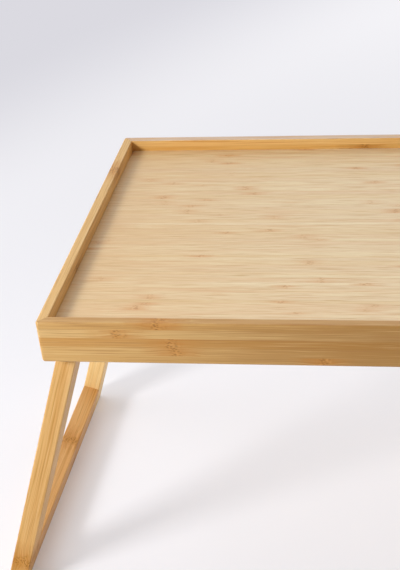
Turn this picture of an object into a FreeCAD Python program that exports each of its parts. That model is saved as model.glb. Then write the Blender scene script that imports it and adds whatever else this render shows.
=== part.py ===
import FreeCAD, Part
import math
import os

# Bed tray table in bamboo: a shallow rimmed tray on two folding leg frames.
# Lengths are in millimetres and angles in degrees.
# X runs along the tray, Y from its front to its rear, and Z up from the floor.
# The origin is on the floor, under the middle of the tray.

# Tray
tray_depth = 300.0
table_height = 275.0
rim_thickness = 8.0
rim_height = 35.0
tray_recess = 9.5
panel_thickness = 5.0
tongue_width = 3.5
tongue_thickness = 3.0
tongue_expansion_gap = 0.5
panel_shadow_gap = 0.2
rim_corner_radius = 2.5
rim_top_radius = 1.6
rim_bottom_radius = 2.2
rim_inner_radius = 0.8

# Loose splines that key the mitred corners of the rim
spline_thickness = 2.5
spline_width = 6.0
spline_height = 12.0
spline_lift = 4.0
spline_glue_gap = 0.05

# Leg frames, each two legs and a foot rail of the same stock
leg_thickness = 15.0
leg_width = 30.0
leg_splay = 19.0
leg_edge_radius = 1.2
foot_rail_height = 30.0
foot_rail_edge_radius = 1.2
stop_clearance = 0.1
fold_clearance = 2.0
folded_gap = 4.3

# Dowels that join each foot rail to its legs
dowel_diameter = 6.0
dowel_depth = 14.0
dowel_spacing = 14.0
dowel_end_gap = 1.0
dowel_glue_gap = 0.05

# Pivots: a shoulder bolt through each leg, screwed into an insert in the rim
shoulder_diameter = 6.0
thread_diameter = 5.0
insert_diameter = 7.0
insert_length = 6.5
insert_fit = 0.05
thread_end_gap = 0.5
spacer_diameter = 14.0
spacer_thickness = 5.0
washer_diameter = 12.0
washer_thickness = 1.0
bolt_head_diameter = 10.0
bolt_head_height = 4.0
bolt_head_edge_radius = 0.6
hex_socket_width = 4.0
hex_socket_depth = 2.2
running_fit = 0.06
leg_side_play = 0.15

# Heights, from the floor up
rim_bottom = table_height - rim_height
panel_top = table_height - tray_recess
panel_bottom = panel_top - panel_thickness
tongue_top = panel_bottom + tongue_thickness
pivot_height = panel_bottom - fold_clearance - leg_thickness / 2
pivot_above_rim_bottom = pivot_height - rim_bottom

# Lengths along the splayed leg, and across it
splay = math.radians(leg_splay)
leg_drop = pivot_height / math.cos(splay)
foot_bevel_drop = leg_thickness / 2 * math.tan(splay)
leg_reach = leg_drop + foot_bevel_drop
foot_rail_bottom = leg_drop - foot_bevel_drop
foot_rail_top = foot_rail_bottom - foot_rail_height

# The leg's outer face bears on the lower inner edge of the end rim.
leg_face_to_pivot = (leg_thickness / 2 + stop_clearance) / math.cos(splay)
pivot_inset = rim_thickness + pivot_above_rim_bottom * math.tan(splay) + leg_face_to_pivot

# The tray is just long enough for both frames to fold flat, foot to foot.
tray_length = 2 * (pivot_inset + leg_reach) + folded_gap

half_length = tray_length / 2
half_depth = tray_depth / 2
inner_half_length = half_length - rim_thickness
inner_half_depth = half_depth - rim_thickness
pivot_x = half_length - pivot_inset

# Stations across the tray, as distances from its middle
leg_outer = inner_half_depth - spacer_thickness - leg_side_play
leg_inner = leg_outer - leg_width
washer_outer = leg_inner - leg_side_play
head_outer = washer_outer - washer_thickness
head_inner = head_outer - bolt_head_height

tolerance = 1e-6
hexagon_sides = 6
left, right = -1, 1
front, rear = -1, 1
side_names = {left: "left", right: "right"}
end_names = {front: "front", rear: "rear"}
y_axis = FreeCAD.Vector(0, 1, 0)
z_axis = FreeCAD.Vector(0, 0, 1)
origin = FreeCAD.Vector(0, 0, 0)


def centred_block(half_x, half_y, low_z, high_z):
    """A block that is centred on the vertical axis."""
    corner = FreeCAD.Vector(-half_x, -half_y, low_z)
    return Part.makeBox(2 * half_x, 2 * half_y, high_z - low_z, corner)


def edges_at_height(shape, height):
    """The edges of a shape that lie flat at one height."""
    return [edge for edge in shape.Edges
            if abs(edge.BoundBox.ZMin - height) < tolerance
            and abs(edge.BoundBox.ZMax - height) < tolerance]


def upright_edges(shape):
    """The edges of a block that run straight up."""
    return [edge for edge in shape.Edges
            if edge.BoundBox.XLength < tolerance and edge.BoundBox.YLength < tolerance]


def rod(diameter, near, far, height=0.0):
    """A round rod across the tray, from one distance to another from its middle."""
    start = FreeCAD.Vector(0, min(near, far), height)
    return Part.makeCylinder(diameter / 2, abs(far - near), start, y_axis)


def tube(outer_diameter, inner_diameter, near, far):
    """A round tube across the tray."""
    return rod(outer_diameter, near, far).cut(rod(inner_diameter, near, far))


def at_pivot(shape, side):
    """Moves a shape from the origin to the pivot axis of one leg frame."""
    shape.translate(FreeCAD.Vector(side * pivot_x, 0, pivot_height))
    return shape


def rim_ring():
    """The whole rim in one piece, with its edges rounded and its panel groove cut."""
    ring = centred_block(half_length, half_depth, rim_bottom, table_height)
    ring = ring.makeFillet(rim_corner_radius, upright_edges(ring))
    ring = ring.makeFillet(rim_top_radius, edges_at_height(ring, table_height))
    ring = ring.makeFillet(rim_bottom_radius, edges_at_height(ring, rim_bottom))
    ring = ring.cut(centred_block(inner_half_length, inner_half_depth, rim_bottom, table_height))
    inner_edges = [edge for edge in edges_at_height(ring, table_height)
                   if abs(edge.CenterOfMass.x) < inner_half_length + tolerance
                   and abs(edge.CenterOfMass.y) < inner_half_depth + tolerance]
    ring = ring.makeFillet(rim_inner_radius, inner_edges)
    groove_depth = tongue_width + tongue_expansion_gap
    return ring.cut(centred_block(inner_half_length + groove_depth,
                                  inner_half_depth + groove_depth, panel_bottom, tongue_top))


def upright_prism(corners):
    """A prism as tall as the rim, on a plan given by its corners."""
    points = [FreeCAD.Vector(x, y, rim_bottom) for x, y in corners]
    outline = Part.makePolygon(points + points[:1])
    return Part.Face(outline).extrude(z_axis * rim_height)


def long_rim_wedge(end):
    """The plan region of the front or rear board, between its mitres."""
    return upright_prism([(-half_length, end * half_depth), (half_length, end * half_depth),
                          (half_length - half_depth, 0), (half_depth - half_length, 0)])


def end_rim_wedge(side):
    """The plan region of the left or right board, between its mitres."""
    return upright_prism([(side * half_length, -half_depth), (side * half_length, half_depth),
                          (side * (half_length - half_depth), 0)])


def corner_spline(side, end, glue_gap=0.0):
    """The loose spline of one corner, or its slot when a glue gap is given."""
    thickness = spline_thickness + 2 * glue_gap
    width = spline_width + 2 * glue_gap
    low = rim_bottom + spline_lift - glue_gap
    spline = centred_block(thickness / 2, width / 2, low, low + spline_height + 2 * glue_gap)
    spline.rotate(origin, z_axis, math.degrees(math.atan2(end, side)))
    spline.translate(FreeCAD.Vector(side * (half_length - rim_thickness / 2),
                                    end * (half_depth - rim_thickness / 2), 0))
    return spline


def spline_slots(corners):
    """The slots of the given corners, as one cutting shape."""
    return Part.makeCompound([corner_spline(side, end, spline_glue_gap) for side, end in corners])


def insert_hole(side, end):
    """The blind hole for a threaded insert in the inner face of a long rim board."""
    hole = rod(insert_diameter, end * inner_half_depth, end * (inner_half_depth + insert_length))
    return at_pivot(hole, side)


def long_rim(ring, end):
    """The front or rear board of the rim."""
    board = ring.common(long_rim_wedge(end))
    board = board.cut(spline_slots([(left, end), (right, end)]))
    return board.cut([insert_hole(left, end), insert_hole(right, end)])


def end_rim(ring, side):
    """The left or right board of the rim."""
    board = ring.common(end_rim_wedge(side))
    return board.cut(spline_slots([(side, front), (side, rear)]))


def tray_panel():
    """The panel, rebated to a tongue that the rim's groove holds all round."""
    field = centred_block(inner_half_length - panel_shadow_gap,
                          inner_half_depth - panel_shadow_gap, panel_bottom, panel_top)
    tongue = centred_block(inner_half_length + tongue_width,
                           inner_half_depth + tongue_width, panel_bottom, tongue_top)
    return field.fuse(tongue).removeSplitter()


def threaded_insert(side, end):
    """The brass insert, flush with the inner face of the rim."""
    outer = insert_diameter - 2 * insert_fit
    bore = thread_diameter + 2 * insert_fit
    insert = tube(outer, bore, end * inner_half_depth, end * (inner_half_depth + insert_length))
    return at_pivot(insert, side)


def pivot_spacer(side, end):
    """The nylon spacer that keeps the leg off the rim."""
    bore = shoulder_diameter + 2 * running_fit
    spacer = tube(spacer_diameter, bore, end * inner_half_depth,
                  end * (inner_half_depth - spacer_thickness))
    return at_pivot(spacer, side)


def pivot_washer(side, end):
    """The flat washer between the leg and the bolt's head."""
    bore = shoulder_diameter + 2 * running_fit
    return at_pivot(tube(washer_diameter, bore, end * washer_outer, end * head_outer), side)


def hex_socket(end):
    """The hexagon socket in the end face of a bolt's head."""
    circumradius = hex_socket_width / 2 / math.cos(math.pi / hexagon_sides)
    angles = [2 * math.pi / hexagon_sides * corner for corner in range(hexagon_sides + 1)]
    points = [FreeCAD.Vector(circumradius * math.cos(angle), end * head_inner,
                             circumradius * math.sin(angle)) for angle in angles]
    return Part.Face(Part.makePolygon(points)).extrude(y_axis * end * hex_socket_depth)


def bolt_head(end):
    """The bolt's round head, with its outer edge eased."""
    head = rod(bolt_head_diameter, end * head_inner, end * head_outer)
    rim_edges = [edge for edge in head.Edges
                 if abs(edge.CenterOfMass.y - end * head_inner) < tolerance]
    return head.makeFillet(bolt_head_edge_radius, rim_edges).cut(hex_socket(end))


def pivot_bolt(side, end):
    """The shoulder bolt that the leg turns on."""
    shoulder = rod(shoulder_diameter, end * head_outer, end * inner_half_depth)
    thread_tip = inner_half_depth + insert_length - thread_end_gap
    thread = rod(thread_diameter, end * inner_half_depth, end * thread_tip)
    bolt = bolt_head(end).fuse([shoulder, thread]).removeSplitter()
    return at_pivot(bolt, side)


def splayed(shape, side):
    """Splays a frame member that hangs from the origin, and moves it to its pivot."""
    shape.rotate(origin, y_axis, -side * leg_splay)
    return at_pivot(shape, side)


def bevelled_at_floor(shape):
    """Cuts a frame member off along the floor, so that it rests flat."""
    box = shape.BoundBox
    corner = FreeCAD.Vector(box.XMin, box.YMin, box.ZMin)
    return shape.cut(Part.makeBox(box.XLength, box.YLength, -box.ZMin, corner))


def leg_outline(end):
    """The leg's side face: round at the pivot, and past the floor at the foot."""
    half = leg_thickness / 2
    y = end * leg_outer
    top_left = FreeCAD.Vector(-half, y, 0)
    top_right = FreeCAD.Vector(half, y, 0)
    foot_drop = leg_reach + leg_thickness
    foot_left = FreeCAD.Vector(-half, y, -foot_drop)
    foot_right = FreeCAD.Vector(half, y, -foot_drop)
    crown = Part.Arc(top_left, FreeCAD.Vector(0, y, half), top_right).toShape()
    sides = [Part.makeLine(top_right, foot_right), Part.makeLine(foot_right, foot_left),
             Part.makeLine(foot_left, top_left)]
    return Part.Wire([crown] + sides)


def dowel_stations():
    """The distances of a foot rail's dowels below the pivot, along the leg."""
    middle = (foot_rail_top + foot_rail_bottom) / 2
    return [middle - dowel_spacing / 2, middle + dowel_spacing / 2]


def dowel_holes(end):
    """The blind holes that the dowels of one joint need, on both sides of it."""
    hole_depth = dowel_depth + dowel_end_gap
    return [rod(dowel_diameter, end * (leg_inner - hole_depth), end * (leg_inner + hole_depth),
                height=-station) for station in dowel_stations()]


def leg(side, end):
    """A leg, bored for its pivot and for the dowels of the foot rail."""
    blank = Part.Face(leg_outline(end)).extrude(-y_axis * end * leg_width)
    long_edges = [edge for edge in blank.Edges if edge.BoundBox.YLength < tolerance]
    blank = blank.makeFillet(leg_edge_radius, long_edges)
    bore = rod(shoulder_diameter + 2 * running_fit, end * leg_inner, end * leg_outer)
    return bevelled_at_floor(splayed(blank.cut([bore] + dowel_holes(end)), side))


def foot_rail(side):
    """The rail along the floor between the two legs of a frame."""
    half = leg_thickness / 2
    drop = leg_reach + leg_thickness
    corner = FreeCAD.Vector(-half, -leg_inner, -drop)
    blank = Part.makeBox(leg_thickness, 2 * leg_inner, drop - foot_rail_top, corner)
    top_edges = [edge for edge in edges_at_height(blank, -foot_rail_top)
                 if edge.BoundBox.XLength < tolerance]
    blank = blank.makeFillet(foot_rail_edge_radius, top_edges)
    return bevelled_at_floor(splayed(blank.cut(dowel_holes(front) + dowel_holes(rear)), side))


def rail_dowels(side, end):
    """The pair of dowels of one joint."""
    dowels = [rod(dowel_diameter - 2 * dowel_glue_gap, end * (leg_inner - dowel_depth),
                  end * (leg_inner + dowel_depth), height=-station) for station in dowel_stations()]
    return splayed(Part.makeCompound(dowels), side)


def tray_pieces():
    """The rim boards, the panel and the splines, by name."""
    ring = rim_ring()
    pieces = {"tray_panel": tray_panel()}
    for end in (front, rear):
        pieces[end_names[end] + "_rim"] = long_rim(ring, end)
    for side in (left, right):
        pieces[side_names[side] + "_rim"] = end_rim(ring, side)
    return pieces


def corner_pieces(side, end):
    """What is found once at each corner of the table, by name."""
    corner = end_names[end] + "_" + side_names[side]
    return {corner + "_spline": corner_spline(side, end),
            corner + "_pivot_insert": threaded_insert(side, end),
            corner + "_pivot_spacer": pivot_spacer(side, end),
            corner + "_pivot_washer": pivot_washer(side, end),
            corner + "_pivot_bolt": pivot_bolt(side, end),
            corner + "_leg": leg(side, end),
            corner + "_rail_dowels": rail_dowels(side, end)}


def all_pieces():
    """Every piece of the table, by name."""
    pieces = tray_pieces()
    for side in (left, right):
        pieces[side_names[side] + "_foot_rail"] = foot_rail(side)
        for end in (front, rear):
            pieces.update(corner_pieces(side, end))
    return pieces


os.makedirs("parts", exist_ok=True)
for name, shape in all_pieces().items():
    shape.exportStep("parts/" + name + ".step")
    print(name, "solids", len(shape.Solids), "valid", shape.isValid(),
          "volume", round(shape.Volume, 1))
print("tray length", round(tray_length, 2), "pivot x", round(pivot_x, 3),
      "pivot height", round(pivot_height, 3))
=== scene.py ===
import math

import bmesh
import bpy
from mathutils import Matrix, Vector

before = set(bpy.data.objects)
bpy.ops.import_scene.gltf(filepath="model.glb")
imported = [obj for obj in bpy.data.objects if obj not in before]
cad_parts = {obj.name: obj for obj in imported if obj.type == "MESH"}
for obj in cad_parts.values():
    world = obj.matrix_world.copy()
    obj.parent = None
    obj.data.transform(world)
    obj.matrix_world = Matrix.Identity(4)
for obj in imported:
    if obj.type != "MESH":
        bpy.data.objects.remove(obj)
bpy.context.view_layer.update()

ALONG_X = (1, 0, 0)
ALONG_Y = (0, 1, 0)
ALONG_Z = (0, 0, 1)

# ---- plain helpers ---------------------------------------------------------------------------


def linear(code):
    """Turns an sRGB hex colour into the linear colour that a shader takes."""
    shares = [int(code[i:i + 2], 16) / 255 for i in (0, 2, 4)]
    return tuple(c / 12.92 if c <= 0.04045 else ((c + 0.055) / 1.055) ** 2.4 for c in shares) + (1.0,)


def add_node(tree, kind, settings=None, sockets=None):
    """Adds one node. A socket's value is either a plain value or another node's output."""
    node = tree.nodes.new(kind)
    for name, value in (settings or {}).items():
        setattr(node, name, value)
    for name, value in (sockets or {}).items():
        if isinstance(value, bpy.types.NodeSocket):
            tree.links.new(value, node.inputs[name])
        else:
            node.inputs[name].default_value = value
    return node


def new_finish(name):
    """An empty material and its node tree."""
    finish = bpy.data.materials.new(name)
    finish.use_nodes = True
    finish.node_tree.nodes.clear()
    return finish, finish.node_tree


def fill_ramp(ramp, stops):
    """Gives a colour ramp these stops, each a place from 0 to 1 and a colour."""
    while len(ramp.elements) < len(stops):
        ramp.elements.new(0.5)
    while len(ramp.elements) > len(stops):
        ramp.elements.remove(ramp.elements[-1])
    for element, (place, colour) in zip(ramp.elements, stops):
        element.position = place
        element.color = colour


def dress(node_names, finish):
    """Gives each of these CAD nodes one finish all over."""
    for name in node_names:
        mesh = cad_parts[name].data
        mesh.materials.clear()
        mesh.materials.append(finish)


# ---- laminated bamboo ------------------------------------------------------------------------

WIDTH_SWING = 2.39           # radians from one strip to the next, so that no width comes back soon
KNUCKLE_BUMPS = 2.2          # bumps of a knuckle's ragged border, in one knuckle width
KNUCKLE_RAGGEDNESS = 0.9     # how far that border strays, in knuckle widths
WANDER_WIDTH = 0.012         # metres across a board in which the grain wanders alike
NOISES_APART = 37.0          # how far from one another two strips may start in the same noise
STREAK_ROUGHNESS = 0.6       # how strong each finer set of streaks is beside the one before
TIGHT_JOINTS = 0.2           # share of the strips whose glue lines hardly show
TIGHT_GLUE = 0.1             # how strong those lines are
GLUE_DEPTH = 0.6             # how deep a glue line lies, beside the depth of the fibres
LACQUER_IOR = 1.5
GLOSS_SPREAD = (-0.04, 0.06)     # from a board's roughness, over its pale and its dark fibres

# The layers made from the noises along the grain: which noise, where it begins to show, where it
# shows in full, and which of the board's values says how strongly.
STREAK_LAYERS = (
    ("dark_fibre", "fibre", 0.5, 0.72, "fibre_strength"),
    ("pale_fibre", "fibre", 0.46, 0.26, "fibre_strength"),
    ("vein", "vein", 0.53, 0.72, "vein_strength"),
    ("halo_fibre", "vein", 0.25, 0.6, "halo_strength"),
)
# The layers made from a knuckle's pores: how far from a pore's middle each begins to show and
# shows in full, and its share of the board's knuckle strength.
PORE_LAYERS = (
    ("dark_pore", 0.5, 0.25, 1.0),
    ("pale_pore", 0.6, 0.8, 0.8),
)
# The layers made from the way that a face looks: how squarely it must look along the grain, or up for the
# painted light on top faces, to begin to show them and to show them in full.
CUT_END = (0.75, 0.97)
PAINTED_TOP_LIGHT_FACING = (0.75, 0.95)
CUT_END_STRENGTH = 0.45
# The order in which the layers go over a strip's own tone.
LAYERS = ("painted_shade_sweep", "top", "ring", "dark_fibre", "pale_fibre", "vein", "halo", "dark_pore",
          "pale_pore", "glue", "end")


def bamboo_strips(tree, across, board):
    """Which strip a point is in, how far across it, and a random colour of that strip's own.

    The strips aren't all equally wide.
    """
    rows = add_node(tree, "ShaderNodeMath", {"operation": "MULTIPLY_ADD"},
                    {0: across, 1: 1 / board["strip_width"], 2: board["strip_offset"]}).outputs[0]
    swing = add_node(tree, "ShaderNodeMath", {"operation": "MULTIPLY"},
                     {0: rows, 1: WIDTH_SWING}).outputs[0]
    swing = add_node(tree, "ShaderNodeMath", {"operation": "SINE"}, {0: swing}).outputs[0]
    rows = add_node(tree, "ShaderNodeMath", {"operation": "MULTIPLY_ADD"},
                    {0: swing, 1: board["strip_unevenness"], 2: rows}).outputs[0]
    strip = add_node(tree, "ShaderNodeMath", {"operation": "FLOOR"}, {0: rows}).outputs[0]
    in_strip = add_node(tree, "ShaderNodeMath", {"operation": "FRACT"}, {0: rows}).outputs[0]
    key = add_node(tree, "ShaderNodeCombineXYZ", None, {"X": strip, "Y": board["seed"]}).outputs[0]
    own_colour = add_node(tree, "ShaderNodeTexWhiteNoise", {"noise_dimensions": "3D"},
                          {"Vector": key}).outputs["Color"]
    return strip, in_strip, own_colour


def strip_table(tree, strip, values):
    """Looks a value up by the strip's number. The list repeats over the strips."""
    spot = add_node(tree, "ShaderNodeMath", {"operation": "MULTIPLY_ADD"},
                    {0: strip, 1: 1 / len(values), 2: 0.5 / len(values)}).outputs[0]
    spot = add_node(tree, "ShaderNodeMath", {"operation": "FRACT"}, {0: spot}).outputs[0]
    table = add_node(tree, "ShaderNodeValToRGB", None, {"Fac": spot})
    table.color_ramp.interpolation = "CONSTANT"
    fill_ramp(table.color_ramp, [(number / len(values), (value,) * 3 + (1.0,))
                                 for number, value in enumerate(values)])
    return table.outputs["Color"]


def bamboo_knuckles(tree, spot, along, strip, start_lot, board):
    """How far a point is inside a knuckle's ring, and inside the wider halo round it, from 0 to 1.

    Each strip has a knuckle every `knuckle_gap`, counted from its place in the board's list, and
    moved by the strip's lot where the board scatters them.
    """
    gap = board["knuckle_gap"]
    width = board["knuckle_width"]
    starts = strip_table(tree, strip, [(0.5 - place / gap) % 1.0 for place in board["knuckle_places"]])
    start = add_node(tree, "ShaderNodeMath", {"operation": "MULTIPLY_ADD"},
                     {0: start_lot, 1: board["knuckle_scatter"], 2: starts}).outputs[0]
    runs = add_node(tree, "ShaderNodeMath", {"operation": "MULTIPLY_ADD"},
                    {0: along, 1: 1 / gap, 2: start}).outputs[0]
    run = add_node(tree, "ShaderNodeMath", {"operation": "FLOOR"}, {0: runs}).outputs[0]
    in_run = add_node(tree, "ShaderNodeMath", {"operation": "FRACT"}, {0: runs}).outputs[0]
    key = add_node(tree, "ShaderNodeCombineXYZ", None,
                   {"X": strip, "Y": run, "Z": board["seed"]}).outputs[0]
    lot = add_node(tree, "ShaderNodeTexWhiteNoise", {"noise_dimensions": "3D"},
                   {"Vector": key}).outputs["Value"]
    presence = add_node(tree, "ShaderNodeMapRange", None,
                        {"Value": lot, "From Min": 1 - board["knuckle_share"], "From Max": 1.0,
                         "To Min": board["knuckle_least"], "To Max": 1.0}).outputs[0]

    # The distance from the knuckle's middle, made uneven so that its border is ragged.
    ragged = add_node(tree, "ShaderNodeTexNoise", None,
                      {"Vector": spot, "Scale": 1 / width * KNUCKLE_BUMPS,
                       "Detail": 1.0}).outputs["Fac"]
    off = add_node(tree, "ShaderNodeMath", {"operation": "MULTIPLY_ADD"},
                   {0: in_run, 1: gap, 2: -gap / 2}).outputs[0]
    off = add_node(tree, "ShaderNodeMath", {"operation": "MULTIPLY_ADD"},
                   {0: ragged, 1: width * KNUCKLE_RAGGEDNESS, 2: off}).outputs[0]
    off = add_node(tree, "ShaderNodeMath", {"operation": "SUBTRACT"},
                   {0: off, 1: width * KNUCKLE_RAGGEDNESS / 2}).outputs[0]
    off = add_node(tree, "ShaderNodeMath", {"operation": "ABSOLUTE"}, {0: off}).outputs[0]

    inside = []
    for length in (width, board["halo_length"]):
        share = add_node(tree, "ShaderNodeMapRange", {"interpolation_type": "SMOOTHSTEP"},
                         {"Value": off, "From Max": length / 2, "To Min": 1.0, "To Max": 0.0}).outputs[0]
        inside.append(add_node(tree, "ShaderNodeMath", {"operation": "MULTIPLY"},
                               {0: share, 1: presence}).outputs[0])
    return inside


def bamboo_streaks(tree, along, across, through, halo, own_colour, board):
    """The board's noises along the grain, which wanders a little, and swells round a knuckle."""
    spot = add_node(tree, "ShaderNodeCombineXYZ", None,
                    {"X": along, "Y": across, "Z": through}).outputs[0]
    waves = add_node(tree, "ShaderNodeVectorMath", {"operation": "MULTIPLY"},
                     {0: spot, 1: (1 / board["wander_length"], 1 / WANDER_WIDTH,
                                   1 / WANDER_WIDTH)}).outputs["Vector"]
    waves = add_node(tree, "ShaderNodeTexNoise", None,
                     {"Vector": waves, "Scale": 1.0, "Detail": 1.0}).outputs["Fac"]
    waves = add_node(tree, "ShaderNodeMath", {"operation": "SUBTRACT"}, {0: waves, 1: 0.5}).outputs[0]
    bend = add_node(tree, "ShaderNodeMath", {"operation": "MULTIPLY_ADD"},
                    {0: halo, 1: board["knuckle_swell"], 2: board["wander"]}).outputs[0]
    bent_across = add_node(tree, "ShaderNodeMath", {"operation": "MULTIPLY_ADD"},
                           {0: waves, 1: bend, 2: across}).outputs[0]
    spot = add_node(tree, "ShaderNodeCombineXYZ", None,
                    {"X": along, "Y": bent_across, "Z": through}).outputs[0]
    own_start = add_node(tree, "ShaderNodeVectorMath", {"operation": "SCALE"},
                         {0: own_colour, "Scale": NOISES_APART}).outputs["Vector"]
    streaks = {}
    for layer, (length, width, detail) in board["streaks"].items():
        stretched = add_node(tree, "ShaderNodeVectorMath", {"operation": "MULTIPLY_ADD"},
                             {0: spot, 1: (1 / length, 1 / width, 1 / width),
                              2: own_start}).outputs["Vector"]
        streaks[layer] = add_node(tree, "ShaderNodeTexNoise", None,
                                  {"Vector": stretched, "Scale": 1.0, "Detail": detail,
                                   "Roughness": STREAK_ROUGHNESS}).outputs["Fac"]
    return streaks


def laminated_bamboo(name, grain, stack, board):
    """Bamboo strips glued side by side along `stack`, their grain along `grain`, sanded and lacquered.

    The eye gets pale straw strips of uneven tone, long fine fibres, brown speckled knuckles
    where a strip crosses a joint of the cane, thin glue lines, and a satin sheen.
    """
    finish, tree = new_finish(name)
    grain = Vector(grain).normalized()
    stack = Vector(stack).normalized()
    place = add_node(tree, "ShaderNodeTexCoord")
    along, across, through = (
        add_node(tree, "ShaderNodeVectorMath", {"operation": "DOT_PRODUCT"},
                 {0: place.outputs["Object"], 1: axis}).outputs["Value"]
        for axis in (grain, stack, grain.cross(stack)))
    spot = add_node(tree, "ShaderNodeCombineXYZ", None,
                    {"X": along, "Y": across, "Z": through}).outputs[0]
    strip, in_strip, own_colour = bamboo_strips(tree, across, board)
    lots = add_node(tree, "ShaderNodeSeparateColor", None, {"Color": own_colour})
    ring, halo = bamboo_knuckles(tree, spot, along, strip, lots.outputs["Green"], board)
    streaks = bamboo_streaks(tree, along, across, through, halo, own_colour, board)

    # Each strip's own tone, which drifts a little along it.
    drift = add_node(tree, "ShaderNodeMath", {"operation": "MULTIPLY_ADD"},
                     {0: streaks["drift"], 1: board["drift_share"],
                      2: -board["drift_share"] / 2}).outputs[0]
    own_tone = add_node(tree, "ShaderNodeMath", {"operation": "MULTIPLY_ADD"},
                        {0: lots.outputs["Red"], 1: board["tone_scatter"],
                         2: strip_table(tree, strip, board["strip_tones"])}).outputs[0]
    tone_spot = add_node(tree, "ShaderNodeMath", {"operation": "ADD"}, {0: own_tone, 1: drift}).outputs[0]
    tones = add_node(tree, "ShaderNodeValToRGB", None, {"Fac": tone_spot})
    fill_ramp(tones.color_ramp, [(number / (len(board["tones"]) - 1), linear(code))
                                 for number, code in enumerate(board["tones"])])
    colour = tones.outputs["Color"]

    # How much of each layer's shade goes over that tone.
    amounts = {}
    for layer, streak, low, high, strength in STREAK_LAYERS:
        amounts[layer] = add_node(tree, "ShaderNodeMapRange", {"interpolation_type": "SMOOTHSTEP"},
                                  {"Value": streaks[streak], "From Min": low, "From Max": high,
                                   "To Max": board[strength]}).outputs[0]
    amounts["halo"] = add_node(tree, "ShaderNodeMath", {"operation": "MULTIPLY"},
                               {0: amounts["halo_fibre"], 1: halo}).outputs[0]
    amounts["ring"] = add_node(tree, "ShaderNodeMath", {"operation": "MULTIPLY"},
                               {0: ring, 1: board["ring_strength"]}).outputs[0]
    pores = add_node(tree, "ShaderNodeVectorMath", {"operation": "MULTIPLY"},
                     {0: spot, 1: (1 / board["pore_length"], 1 / board["pore_width"],
                                   1 / board["pore_width"])}).outputs["Vector"]
    pores = add_node(tree, "ShaderNodeTexVoronoi", {"feature": "F1"},
                     {"Vector": pores, "Scale": 1.0}).outputs["Distance"]
    for layer, low, high, share in PORE_LAYERS:
        speck = add_node(tree, "ShaderNodeMapRange", None,
                         {"Value": pores, "From Min": low, "From Max": high,
                          "To Max": board["knuckle_strength"] * share}).outputs[0]
        amounts[layer] = add_node(tree, "ShaderNodeMath", {"operation": "MULTIPLY"},
                                  {0: speck, 1: ring}).outputs[0]

    # Glue lines, drawn about 0.5 mm wide so that they show; the real ones are a tenth of that.
    edge = add_node(tree, "ShaderNodeMath", {"operation": "SUBTRACT"}, {0: in_strip, 1: 0.5}).outputs[0]
    edge = add_node(tree, "ShaderNodeMath", {"operation": "ABSOLUTE"}, {0: edge}).outputs[0]
    edge = add_node(tree, "ShaderNodeMapRange", None,
                    {"Value": edge, "From Min": 0.5 - board["glue_line"] / board["strip_width"],
                     "From Max": 0.5}).outputs[0]
    glue_lot = add_node(tree, "ShaderNodeMapRange", None,
                        {"Value": lots.outputs["Blue"], "From Min": TIGHT_JOINTS,
                         "To Min": TIGHT_GLUE, "To Max": board["glue_strength"]}).outputs[0]
    amounts["glue"] = add_node(tree, "ShaderNodeMath", {"operation": "MULTIPLY"},
                               {0: edge, 1: glue_lot}).outputs[0]

    # Cut ends are darker, because their open fibres drink the lacquer.
    facing = add_node(tree, "ShaderNodeVectorMath", {"operation": "DOT_PRODUCT"},
                      {0: place.outputs["Normal"], 1: grain}).outputs["Value"]
    facing = add_node(tree, "ShaderNodeMath", {"operation": "ABSOLUTE"}, {0: facing}).outputs[0]
    amounts["end"] = add_node(tree, "ShaderNodeMapRange", {"interpolation_type": "SMOOTHSTEP"},
                              {"Value": facing, "From Min": CUT_END[0], "From Max": CUT_END[1],
                               "To Max": CUT_END_STRENGTH}).outputs[0]

    # Painted light: faces that look up are mixed toward the board's top shade, a painted sheen on the
    # rear rim.
    if "top" in board["shades"]:
        upward = add_node(tree, "ShaderNodeSeparateXYZ", None,
                          {"Vector": place.outputs["Normal"]}).outputs["Z"]
        amounts["top"] = add_node(tree, "ShaderNodeMapRange", {"interpolation_type": "SMOOTHSTEP"},
                                  {"Value": upward, "From Min": PAINTED_TOP_LIGHT_FACING[0], "From Max": PAINTED_TOP_LIGHT_FACING[1],
                                   "To Max": board["painted_top_light_strength"]}).outputs[0]

    # Painted shade: some boards turn slowly to a darker, more saturated shade toward one end along the
    # grain, painted in for the light that weakens along them.
    if "painted_shade_sweep" in board["shades"]:
        start, end = board["painted_shade_sweep"]
        amounts["painted_shade_sweep"] = add_node(tree, "ShaderNodeMapRange", {"interpolation_type": "SMOOTHSTEP"},
                                    {"Value": along, "From Min": start, "From Max": end,
                                     "To Max": board["painted_shade_sweep_strength"]}).outputs[0]

    for layer in LAYERS:
        if layer in amounts:
            colour = add_node(tree, "ShaderNodeMix", {"data_type": "RGBA"},
                              {"Factor": amounts[layer], "A": colour,
                               "B": linear(board["shades"][layer])}).outputs["Result"]

    # Lacquer a few hundredths of a millimetre thick follows the fibres and the glue lines, and is
    # a little rougher over the dark fibres.
    relief = add_node(tree, "ShaderNodeMath", {"operation": "MULTIPLY_ADD"},
                      {0: amounts["glue"], 1: -GLUE_DEPTH, 2: streaks["fibre"]}).outputs[0]
    relief = add_node(tree, "ShaderNodeBump", None,
                      {"Height": relief, "Strength": board["relief_strength"],
                       "Distance": board["relief"]}).outputs[0]
    gloss = add_node(tree, "ShaderNodeMapRange", None,
                     {"Value": streaks["fibre"], "From Min": 0.3, "From Max": 0.7,
                      "To Min": board["roughness"] + GLOSS_SPREAD[0],
                      "To Max": board["roughness"] + GLOSS_SPREAD[1]}).outputs[0]
    shader = add_node(tree, "ShaderNodeBsdfPrincipled", None,
                      {"Base Color": colour, "Roughness": gloss, "Normal": relief,
                       "IOR": LACQUER_IOR, "Specular IOR Level": board["specular"]})
    add_node(tree, "ShaderNodeOutputMaterial", None, {"Surface": shader.outputs[0]})
    return finish
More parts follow.
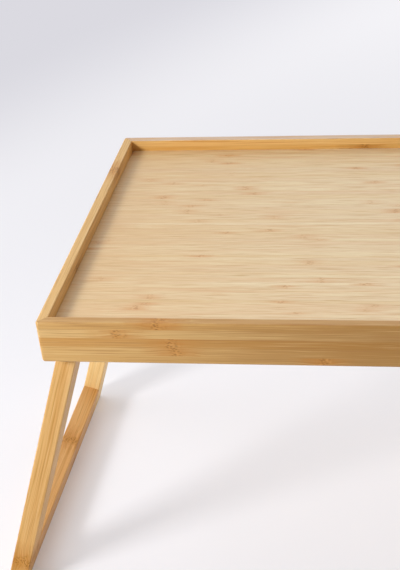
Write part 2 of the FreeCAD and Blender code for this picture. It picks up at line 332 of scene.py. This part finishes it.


# What a board's values say. Lengths are in metres on the real piece, and strengths and shares go
# from 0 to 1. A layer that a board's shades leave out isn't drawn on it.
#   strip_        how wide a strip is, where the first one starts, in strips, and how uneven they are
#   seed          which of the random sets the board has
#   streaks       the noises along the grain: how long and how wide each is, and how finely detailed
#   fibre_, vein_ how strong the fine fibres and the wider veins are
#   wander        how far the grain strays sideways, and wander_length how soon it does
#   tones         the colours that a strip can have, strip_tones where in them each strip lies,
#                 tone_scatter how much chance moves that, and drift_share how far it drifts along
#   painted_shade_sweep  painted shade: from where to where along the grain a darker shade comes in, and
#       how strong it gets
#   painted_top_light_  how strong the painted light on faces that look up is, in the board's top shade
#   knuckle_      its place on each strip and how far apart they are, how much chance scatters them,
#                 what share shows in full and how much the rest do, its length along the grain,
#                 how strong its pores are, and how far it swells the grain round it
#   ring_, halo_  how strong a knuckle's stained band is, and the fainter, longer stain round it
#   pore_         how long and how wide one of a knuckle's pores is
#   glue_         how far a glue line fades out to either side, and how strong it is
#   relief        how deep the fibres are, and relief_strength how much of that shows
#   roughness and specular are the lacquer's.
PANEL = {
    "strip_width": 0.005, "strip_offset": 0.35, "strip_unevenness": 0.22, "seed": 3.0,
    "streaks": {"fibre": (0.03, 0.0006, 2.0), "vein": (0.06, 0.0018, 2.0),
                "drift": (0.14, 0.011, 1.0)},
    "wander": 0.0012, "wander_length": 0.07,
    "tones": ("DABB88", "E1C698", "DEBF94", "E5CFA4", "DEC298", "E8D4AC"),
    "strip_tones": (0.0,), "tone_scatter": 1.0, "drift_share": 0.5,
    "fibre_strength": 1.0, "vein_strength": 0.65,
    # Painted shade: the panel is painted darker toward its left end.
    "painted_shade_sweep": (-0.08, -0.32), "painted_shade_sweep_strength": 0.43,
    "knuckle_places": (0.0,), "knuckle_scatter": 9.0, "knuckle_gap": 0.17,
    "knuckle_share": 0.75, "knuckle_least": 0.0, "knuckle_width": 0.008,
    "knuckle_strength": 0.65, "knuckle_swell": 0.003,
    "ring_strength": 0.4, "halo_length": 0.034, "halo_strength": 0.85,
    "pore_length": 0.0024, "pore_width": 0.0011,
    "glue_line": 0.0005, "glue_strength": 0.35,
    "shades": {"painted_shade_sweep": "CD9C56", "dark_fibre": "C69E68", "pale_fibre": "ECD7AC",
               "vein": "D4A878", "halo": "CE965C", "ring": "D29C5C", "dark_pore": "A06C38",
               "pale_pore": "E8CFA4", "glue": "BC9564", "end": "A37B4C"},
    "relief": 0.0001, "relief_strength": 0.4, "roughness": 0.3, "specular": 0.55,
}


def from_the_top(first, second, third, fourth, fifth):
    """The values of a rim board's five strips, in the order in which their numbers look them up.

    From the top down these are strips 36 to 32, and a list of five starts with strip 35.
    """
    return second, first, fifth, fourth, third


RIM = {
    **PANEL, "strip_width": 0.0074, "strip_offset": -0.405, "strip_unevenness": 0.0, "seed": 11.0,
    "streaks": {"fibre": (0.06, 0.0006, 3.0), "vein": (0.09, 0.0016, 2.0),
                "drift": (0.26, 0.009, 1.0)},
    "wander_length": 0.04,
    "tones": ("CB9C55", "D3AC6A", "D9B477"),
    "strip_tones": from_the_top(0.6, 0.4, 0.2, 0.3, 0.5), "tone_scatter": 0.3, "drift_share": 0.6,
    "fibre_strength": 0.7,
    "knuckle_places": from_the_top(0.06, 0.0, 0.035, -0.05, 0.02), "knuckle_scatter": 0.0,
    "knuckle_gap": 0.26, "knuckle_share": 1.0, "knuckle_least": 0.85, "knuckle_width": 0.014,
    "knuckle_strength": 0.7, "knuckle_swell": 0.009,
    "ring_strength": 0.65, "halo_length": 0.06, "glue_line": 0.0004,
    "shades": {"dark_fibre": "AF7F3C", "pale_fibre": "E0C08A", "vein": "BC8438",
               "halo": "BA7C31", "ring": "BF8338", "dark_pore": "7C5420",
               "pale_pore": "D3A258", "glue": "A87636", "end": "A0713C"},
    "roughness": 0.42, "specular": 0.38,
}
FRONT_RIM = {
    **RIM, "tones": ("C28B41", "C89A56", "D4AD6F"),
    "strip_tones": from_the_top(0.55, 0.95, 0.15, 0.33, 0.42),
    # Painted shade: the front rim is painted darker toward its right end, where the light falls off.
    "painted_shade_sweep": (-0.3, 0.0), "painted_shade_sweep_strength": 0.66, "painted_top_light_strength": 0.7,
    "knuckle_places": from_the_top(-0.199, -0.2293, -0.191, -0.189, -0.0816),
    # Painted light: the front rim's top face is painted one steady tone against the painted shade of its
    # front face.
    "shades": {**RIM["shades"], "painted_shade_sweep": "96641F", "top": "BE9259", "dark_fibre": "9E7033",
               "pale_fibre": "D9B87A", "vein": "A8763A"},
}
REAR_RIM = {
    **RIM, "seed": 12.0, "tones": ("DCA659", "E0AE60", "E8BA74"), "painted_top_light_strength": 0.8,
    "knuckle_places": from_the_top(0.02, -0.0765, 0.05, -0.03, 0.01), "knuckle_gap": 0.32,
    # Painted light: the rear rim's top face gets a pale pinkish painted sheen.
    "shades": {**RIM["shades"], "top": "CBB5A4", "dark_fibre": "C78A40",
               "pale_fibre": "F4D08E", "vein": "CB8A3C"},
}
LEFT_RIM = {
    # Painted light: the side rims' strips are painted lighter, standing in for light that their inner
    # faces lack, and their top faces are painted back to a darker tone.
    **RIM, "seed": 13.0, "tones": ("DFA150", "E5AF61", "E9BA71"), "painted_top_light_strength": 0.9,
    "knuckle_places": from_the_top(0.0871, -0.06, 0.0, -0.06, 0.05),
    "shades": {**RIM["shades"], "top": "D6AC6D"},
}
RIGHT_RIM = {
    **LEFT_RIM, "seed": 14.0,
    "knuckle_places": from_the_top(-0.045, 0.03, -0.07, 0.0, 0.08),
}
LEG = {
    **RIM, "strip_width": 0.0052, "strip_offset": 0.2, "seed": 21.0,
    "tones": ("D09D5C", "D9AA69", "DFB376"), "strip_tones": (0.25,), "tone_scatter": 0.5,
    "knuckle_places": (-0.085, -0.083, -0.088), "knuckle_gap": 0.3, "specular": 0.08,
}
REAR_LEG_PAINTED_LIGHTER = {
    # Painted light: the rear legs' tones are paler, painted in for the stronger light on the rear leg's
    # front face.
    **LEG, "seed": 22.0, "tones": ("EDC480", "F2CE90", "F5D59B"),
    "knuckle_places": (0.148, 0.146, 0.149),
    "shades": {**RIM["shades"], "dark_fibre": "D9A858", "pale_fibre": "FAE3B0", "vein": "DFAC5C"},
}
FOOT_RAIL = {
    **LEG, "seed": 25.0, "strip_width": 0.0105, "strip_offset": 0.1428,
    "tones": ("D19553", "D9A361", "DDA96B"),
    "knuckle_places": (0.026, 0.027, 0.0255), "specular": 0.2,
}
# The loose splines are offcuts of the same strips, a single strip thick and free of knuckles.
SPLINE = {
    **RIM, "seed": 31.0, "strip_width": 0.004, "tone_scatter": 1.0,
    "knuckle_share": 0.0, "knuckle_least": 0.0,
}

# finish, node, which way the grain runs, which way the strips are stacked, the board's values
TRAY_BOARDS = (
    ("panel_strip_bamboo", "tray_panel", ALONG_X, ALONG_Y, PANEL),
    ("front_rim_bamboo", "front_rim", ALONG_X, ALONG_Z, FRONT_RIM),
    ("rear_rim_bamboo", "rear_rim", ALONG_X, ALONG_Z, REAR_RIM),
    ("left_rim_bamboo", "left_rim", ALONG_Y, ALONG_Z, LEFT_RIM),
    ("right_rim_bamboo", "right_rim", ALONG_Y, ALONG_Z, RIGHT_RIM),
)
for finish_name, node_name, grain, stack, board in TRAY_BOARDS:
    dress([node_name], laminated_bamboo(finish_name, grain, stack, board))

LEG_SPLAY = math.radians(19.0)
for side, lean in (("left", math.sin(LEG_SPLAY)), ("right", -math.sin(LEG_SPLAY))):
    leg_grain = (lean, 0, math.cos(LEG_SPLAY))
    leg_stack = (math.cos(LEG_SPLAY), 0, -lean)
    for end, board in (("front", LEG), ("rear", REAR_LEG_PAINTED_LIGHTER)):
        leg_finish = laminated_bamboo(f"{end}_{side}_leg_bamboo", leg_grain, leg_stack, board)
        dress([f"{end}_{side}_leg"], leg_finish)
    rail_finish = laminated_bamboo(f"{side}_foot_rail_bamboo", ALONG_Y, ALONG_Z, FOOT_RAIL)
    dress([f"{side}_foot_rail"], rail_finish)

# ---- the fixings -----------------------------------------------------------------------------

# A point on the axis that each side's frame folds about. The axis runs along Y.
PIVOT = {"left": (-0.270195, 0.0, 0.251), "right": (0.270195, 0.0, 0.251)}
THREAD_START = 0.142         # how far from the tray's middle the bolts' threads begin, along Y
THREAD_PITCH = 0.0008        # an M5 thread climbs 0.8 mm a turn
THREAD_DEPTH = 12.0          # how deep it is beside the lathe rings
LATHE_RING = 0.0005          # drawn 0.5 mm apart so that they show; the real ones are a tenth of that
KNURL_RIBS = 24.0            # ribs round an insert
KNURL_FADE = (0.0028, 0.0034)    # metres from the axis; the bore inside it has no ribs


def round_the_pivot(tree, side):
    """A point's place, and from its side's pivot axis its distance, angle and place along it."""
    place = add_node(tree, "ShaderNodeTexCoord").outputs["Object"]
    spot = add_node(tree, "ShaderNodeVectorMath", {"operation": "SUBTRACT"},
                    {0: place, 1: PIVOT[side]}).outputs["Vector"]
    axes = add_node(tree, "ShaderNodeSeparateXYZ", None, {"Vector": spot})
    flat = add_node(tree, "ShaderNodeCombineXYZ", None,
                    {"X": axes.outputs["X"], "Z": axes.outputs["Z"]}).outputs[0]
    reach = add_node(tree, "ShaderNodeVectorMath", {"operation": "LENGTH"}, {0: flat}).outputs["Value"]
    angle = add_node(tree, "ShaderNodeMath", {"operation": "ARCTAN2"},
                     {0: axes.outputs["Z"], 1: axes.outputs["X"]}).outputs[0]
    return place, reach, angle, axes.outputs["Y"]


def cloudy(tree, place, size, low=0.3, high=0.7, values=(0.0, 1.0)):
    """A noise in patches of `size` metres, whose part from low to high is spread over the values."""
    cloud = add_node(tree, "ShaderNodeTexNoise", None,
                     {"Vector": place, "Scale": 1 / size, "Detail": 3.0}).outputs["Fac"]
    return add_node(tree, "ShaderNodeMapRange", None,
                    {"Value": cloud, "From Min": low, "From Max": high,
                     "To Min": values[0], "To Max": values[1]}).outputs[0]


def zinc_plated_steel(name, side):
    """Turned steel with a clear zinc plating.

    The eye gets a cool grey metal, faintly cloudy, with lathe rings round the pivot axis and a
    rolled thread at the far end.
    """
    finish, tree = new_finish(name)
    place, reach, _, along = round_the_pivot(tree, side)
    tint = cloudy(tree, place, size=0.004, low=0.35, high=0.65)
    colour = add_node(tree, "ShaderNodeMix", {"data_type": "RGBA"},
                      {"Factor": tint, "A": linear("B9BEC1"), "B": linear("D0D0CA")}).outputs["Result"]
    gloss = cloudy(tree, place, size=0.0015, values=(0.28, 0.42))
    rings = add_node(tree, "ShaderNodeMath", {"operation": "MULTIPLY"},
                     {0: reach, 1: math.tau / LATHE_RING}).outputs[0]
    rings = add_node(tree, "ShaderNodeMath", {"operation": "SINE"}, {0: rings}).outputs[0]
    turns = add_node(tree, "ShaderNodeMath", {"operation": "MULTIPLY"},
                     {0: along, 1: math.tau / THREAD_PITCH}).outputs[0]
    turns = add_node(tree, "ShaderNodeMath", {"operation": "SINE"}, {0: turns}).outputs[0]
    from_middle = add_node(tree, "ShaderNodeMath", {"operation": "ABSOLUTE"}, {0: along}).outputs[0]
    threaded = add_node(tree, "ShaderNodeMath", {"operation": "GREATER_THAN"},
                        {0: from_middle, 1: THREAD_START}).outputs[0]
    turns = add_node(tree, "ShaderNodeMath", {"operation": "MULTIPLY"},
                     {0: turns, 1: threaded}).outputs[0]
    relief = add_node(tree, "ShaderNodeMath", {"operation": "MULTIPLY_ADD"},
                      {0: turns, 1: THREAD_DEPTH, 2: rings}).outputs[0]
    relief = add_node(tree, "ShaderNodeBump", None,
                      {"Height": relief, "Strength": 0.5, "Distance": 0.00001}).outputs[0]
    shader = add_node(tree, "ShaderNodeBsdfPrincipled", None,
                      {"Base Color": colour, "Metallic": 1.0, "Roughness": gloss, "Normal": relief})
    add_node(tree, "ShaderNodeOutputMaterial", None, {"Surface": shader.outputs[0]})
    return finish


def knurled_brass(name, side):
    """Bare turned brass, knurled outside so that the glue holds it.

    The eye gets a warm yellow metal, a little browner in patches, with fine ribs round it.
    """
    finish, tree = new_finish(name)
    place, reach, angle, _ = round_the_pivot(tree, side)
    tarnish = cloudy(tree, place, size=0.003)
    colour = add_node(tree, "ShaderNodeMix", {"data_type": "RGBA"},
                      {"Factor": tarnish, "A": linear("DDBE6A"),
                       "B": linear("C39B4C")}).outputs["Result"]
    gloss = cloudy(tree, place, size=0.002, values=(0.26, 0.4))
    ribs = add_node(tree, "ShaderNodeMath", {"operation": "MULTIPLY"},
                    {0: angle, 1: KNURL_RIBS}).outputs[0]
    ribs = add_node(tree, "ShaderNodeMath", {"operation": "SINE"}, {0: ribs}).outputs[0]
    outside = add_node(tree, "ShaderNodeMapRange", None,
                       {"Value": reach, "From Min": KNURL_FADE[0],
                        "From Max": KNURL_FADE[1]}).outputs[0]
    relief = add_node(tree, "ShaderNodeMath", {"operation": "MULTIPLY"},
                      {0: ribs, 1: outside}).outputs[0]
    relief = add_node(tree, "ShaderNodeBump", None,
                      {"Height": relief, "Strength": 0.6, "Distance": 0.00008}).outputs[0]
    shader = add_node(tree, "ShaderNodeBsdfPrincipled", None,
                      {"Base Color": colour, "Metallic": 1.0, "Roughness": gloss, "Normal": relief})
    add_node(tree, "ShaderNodeOutputMaterial", None, {"Surface": shader.outputs[0]})
    return finish


def moulded_nylon(name):
    """Natural nylon, injection moulded.

    The eye gets a milky off-white that light enters a little way, with a soft even sheen.
    """
    finish, tree = new_finish(name)
    place = add_node(tree, "ShaderNodeTexCoord").outputs["Object"]
    milk = cloudy(tree, place, size=0.006)
    colour = add_node(tree, "ShaderNodeMix", {"data_type": "RGBA"},
                      {"Factor": milk, "A": linear("E6E0D1"), "B": linear("F0ECE2")}).outputs["Result"]
    gloss = cloudy(tree, place, size=0.0008, values=(0.4, 0.52))
    shader = add_node(tree, "ShaderNodeBsdfPrincipled", None,
                      {"Base Color": colour, "Roughness": gloss, "IOR": 1.53,
                       "Subsurface Weight": 0.2, "Subsurface Scale": 0.001})
    add_node(tree, "ShaderNodeOutputMaterial", None, {"Surface": shader.outputs[0]})
    return finish


def turned_beech(name):
    """Raw beech dowel, turned along its grain.

    The eye gets a pale pinkish tan, nearly even, with short brown flecks along the grain.
    """
    finish, tree = new_finish(name)
    place = add_node(tree, "ShaderNodeTexCoord").outputs["Object"]
    # Grain 30 mm long and 1.2 mm wide, and flecks 3 mm long and 0.5 mm wide. The dowels lie along Y.
    grain, flecks = (
        add_node(tree, "ShaderNodeVectorMath", {"operation": "MULTIPLY"},
                 {0: place, 1: (1 / width, 1 / length, 1 / width)}).outputs["Vector"]
        for length, width in ((0.03, 0.0012), (0.003, 0.0005)))
    grain = cloudy(tree, grain, size=1.0)
    flecks = cloudy(tree, flecks, size=1.0, low=0.58, high=0.7, values=(0.0, 0.7))
    colour = add_node(tree, "ShaderNodeMix", {"data_type": "RGBA"},
                      {"Factor": grain, "A": linear("D2A880"), "B": linear("E0BF9A")}).outputs["Result"]
    colour = add_node(tree, "ShaderNodeMix", {"data_type": "RGBA"},
                      {"Factor": flecks, "A": colour, "B": linear("A97850")}).outputs["Result"]
    relief = add_node(tree, "ShaderNodeBump", None,
                      {"Height": grain, "Strength": 0.4, "Distance": 0.00005}).outputs[0]
    shader = add_node(tree, "ShaderNodeBsdfPrincipled", None,
                      {"Base Color": colour, "Roughness": 0.62, "Normal": relief, "IOR": 1.5})
    add_node(tree, "ShaderNodeOutputMaterial", None, {"Surface": shader.outputs[0]})
    return finish


nylon = moulded_nylon("moulded_nylon")
beech = turned_beech("turned_beech")
for side, side_way in (("left", -1), ("right", 1)):
    steel = zinc_plated_steel(f"{side}_zinc_plated_steel", side)
    brass = knurled_brass(f"{side}_knurled_brass", side)
    for end, end_way in (("front", -1), ("rear", 1)):
        corner = f"{end}_{side}"
        across_mitre = (-end_way, side_way, 0)
        spline = laminated_bamboo(f"{corner}_spline_bamboo", across_mitre, ALONG_Z, SPLINE)
        dress([f"{corner}_spline"], spline)
        dress([f"{corner}_pivot_bolt", f"{corner}_pivot_washer"], steel)
        dress([f"{corner}_pivot_insert"], brass)
        dress([f"{corner}_pivot_spacer"], nylon)
        dress([f"{corner}_rail_dowels"], beech)

# ---- floor, light and camera -----------------------------------------------------------------

FAR_LEFT = (-0.8, 0.6, 0.0)
BEHIND = (-0.3, 0.95, 0.0)       # and a little to the left


def seen_directly(tree):
    """1 for a ray from the camera, also by way of metal or glass, and 0 for one that only lights."""
    rays = add_node(tree, "ShaderNodeLightPath")
    seen = add_node(tree, "ShaderNodeMath", {"operation": "MAXIMUM"},
                    {0: rays.outputs["Is Camera Ray"], 1: rays.outputs["Is Glossy Ray"]}).outputs[0]
    return add_node(tree, "ShaderNodeMath", {"operation": "MAXIMUM"},
                    {0: seen, 1: rays.outputs["Is Transmission Ray"]}).outputs[0]


def studio_floor():
    """A wide floor in pale matt paint, seen from above only.

    The eye gets nearly the colour that the paint is written in, and the object's soft shadow.
    """
    mesh = bpy.data.meshes.new("studio_floor")
    shape = bmesh.new()
    bmesh.ops.create_grid(shape, x_segments=12, y_segments=12, size=12.0)
    shape.to_mesh(mesh)
    shape.free()
    floor = bpy.data.objects.new("studio_floor", mesh)
    bpy.context.scene.collection.objects.link(floor)
    finish, tree = new_finish("painted_studio_floor")

    # Painted shade: the paint is greyer behind on the far left, where the studio light falls off, and
    # pale again toward the horizon.
    place = add_node(tree, "ShaderNodeTexCoord").outputs["Object"]
    far_left = add_node(tree, "ShaderNodeVectorMath", {"operation": "DOT_PRODUCT"},
                        {0: place, 1: FAR_LEFT}).outputs["Value"]
    distance = add_node(tree, "ShaderNodeVectorMath", {"operation": "LENGTH"},
                        {0: place}).outputs["Value"]
    far_left_painted_shade, distant, horizon = (
        add_node(tree, "ShaderNodeMapRange", {"interpolation_type": "SMOOTHSTEP"},
                 {"Value": value, "From Min": start, "From Max": end}).outputs[0]
        for value, start, end in ((far_left, 0.75, 1.15), (distance, 0.45, 1.25),
                                  (distance, 1.4, 3.2)))
    colour = add_node(tree, "ShaderNodeMix", {"data_type": "RGBA"},
                      {"Factor": far_left_painted_shade, "A": linear("F5F4F8"), "B": linear("DBDAE1")}).outputs["Result"]
    colour = add_node(tree, "ShaderNodeMix", {"data_type": "RGBA"},
                      {"Factor": horizon, "A": colour, "B": linear("F2F1F6")}).outputs["Result"]
    matt = add_node(tree, "ShaderNodeBsdfDiffuse", None, {"Color": colour})
    glow = add_node(tree, "ShaderNodeEmission", None, {"Color": colour, "Strength": 1.0})

    # Half of what is seen near the object is the paint as it is written, and the other half is
    # lit, and holds the shadow. Far off, all of it is the paint.
    share = add_node(tree, "ShaderNodeMapRange", None,
                     {"Value": distant, "To Min": 0.5, "To Max": 1.0}).outputs[0]
    # Within 40 mm of the feet the lit half takes over, so that the contact shadow is deep.
    clearance = add_node(tree, "ShaderNodeAmbientOcclusion", {"samples": 8},
                         {"Distance": 0.04}).outputs["AO"]
    share = add_node(tree, "ShaderNodeMath", {"operation": "MULTIPLY"},
                     {0: share, 1: clearance}).outputs[0]
    share = add_node(tree, "ShaderNodeMath", {"operation": "MULTIPLY"},
                     {0: seen_directly(tree), 1: share}).outputs[0]
    top = add_node(tree, "ShaderNodeMixShader", None, {0: share, 1: matt.outputs[0], 2: glow.outputs[0]})
    # From below the floor can't be seen, so that it doesn't hide the underside.
    clear = add_node(tree, "ShaderNodeBsdfTransparent")
    side = add_node(tree, "ShaderNodeNewGeometry")
    one_sided = add_node(tree, "ShaderNodeMixShader", None,
                         {0: side.outputs["Backfacing"], 1: top.outputs[0], 2: clear.outputs[0]})
    add_node(tree, "ShaderNodeOutputMaterial", None, {"Surface": one_sided.outputs[0]})
    mesh.materials.append(finish)


# name, place, what it points at, width, height, watts
LAMPS = (
    ("front_left_softbox", (-1.13, -1.01, 0.97), (-0.2, 0.0, 0.2), 0.42, 0.36, 19.5),
    ("left_softbox", (-0.88, 0.13, 1.42), (-0.2, 0.0, 0.2), 0.5, 0.5, 1.2),
    ("top_softbox", (-0.5, 0.1, 1.95), (-0.1, 0.0, 0.26), 1.0, 1.0, 4.6),
    ("rear_softbox", (0.5, 1.9, 2.1), (-0.1, 0.0, 0.26), 1.7, 1.2, 5.0),
)
SURROUND_LEVEL = 1.45        # how brightly the studio's pale walls light the object, at most


def studio_light():
    """Four soft lamps, none of them seen by the camera, and a plain pale surround."""
    for name, place, target, width, height, watts in LAMPS:
        lamp = bpy.data.lights.new(name, "AREA")
        lamp.shape = "RECTANGLE"
        lamp.size = width
        lamp.size_y = height
        lamp.energy = watts
        holder = bpy.data.objects.new(name, lamp)
        bpy.context.scene.collection.objects.link(holder)
        holder.location = place
        holder.rotation_euler = (Vector(place) - Vector(target)).to_track_quat("Z", "Y").to_euler()
        holder.visible_camera = False

    world = bpy.data.worlds.new("pale_surround")
    bpy.context.scene.world = world
    world.use_nodes = True
    tree = world.node_tree
    tree.nodes.clear()
    # The walls light the object from low down, most of all from behind.
    heading = add_node(tree, "ShaderNodeTexCoord").outputs["Generated"]
    height = add_node(tree, "ShaderNodeSeparateXYZ", None, {"Vector": heading}).outputs["Z"]
    behind = add_node(tree, "ShaderNodeVectorMath", {"operation": "DOT_PRODUCT"},
                      {0: heading, 1: BEHIND}).outputs["Value"]
    # value, where it starts and ends, and the light's share at either
    fades = ((height, 0.03, 0.15, 0.0, 1.0), (height, 0.55, 0.9, 1.0, 0.05),
             (behind, -0.6, 0.6, 0.12, 1.0))
    level = SURROUND_LEVEL
    for value, start, end, low, high in fades:
        fade = add_node(tree, "ShaderNodeMapRange", {"interpolation_type": "SMOOTHSTEP"},
                        {"Value": value, "From Min": start, "From Max": end,
                         "To Min": low, "To Max": high}).outputs[0]
        level = add_node(tree, "ShaderNodeMath", {"operation": "MULTIPLY"},
                         {0: level, 1: fade}).outputs[0]
    lit = add_node(tree, "ShaderNodeBackground", None, {"Color": linear("F8FAFF"), "Strength": level})
    shown = add_node(tree, "ShaderNodeBackground", None, {"Color": linear("F2F1F6"), "Strength": 1.0})
    both = add_node(tree, "ShaderNodeMixShader", None,
                    {0: seen_directly(tree), 1: lit.outputs[0], 2: shown.outputs[0]})
    add_node(tree, "ShaderNodeOutputWorld", None, {"Surface": both.outputs[0]})


def photograph_camera():
    """The camera where the photograph was taken from."""
    picture_width, picture_height = 400, 570
    focal_length = 1489.45                 # in pixels, as is the place of the lens's axis
    axis_x, axis_y = 228.0, 315.0
    place = (0.0470244, -1.0105027, 0.8445305)
    yaw, pitch, roll = -0.221588, 0.566722, 0.110241
    forward = Vector((math.sin(yaw) * math.cos(pitch), math.cos(yaw) * math.cos(pitch),
                      -math.sin(pitch)))
    right = Vector((math.cos(yaw), -math.sin(yaw), 0))
    down = forward.cross(right)
    rolled_right = right * math.cos(roll) + down * math.sin(roll)
    rolled_down = down * math.cos(roll) - right * math.sin(roll)
    turn = Matrix((rolled_right, -rolled_down, -forward)).transposed()
    data = bpy.data.cameras.new("photograph_camera")
    data.sensor_width = 36.0
    data.lens = focal_length * data.sensor_width / picture_height
    data.shift_x = (picture_width / 2 - axis_x) / picture_height
    data.shift_y = (axis_y - picture_height / 2) / picture_height
    camera = bpy.data.objects.new("photograph_camera", data)
    bpy.context.scene.collection.objects.link(camera)
    camera.matrix_world = Matrix.Translation(place) @ turn.to_4x4()
    bpy.context.scene.camera = camera


studio_floor()
studio_light()
photograph_camera()
bpy.context.scene.view_settings.view_transform = "Standard"
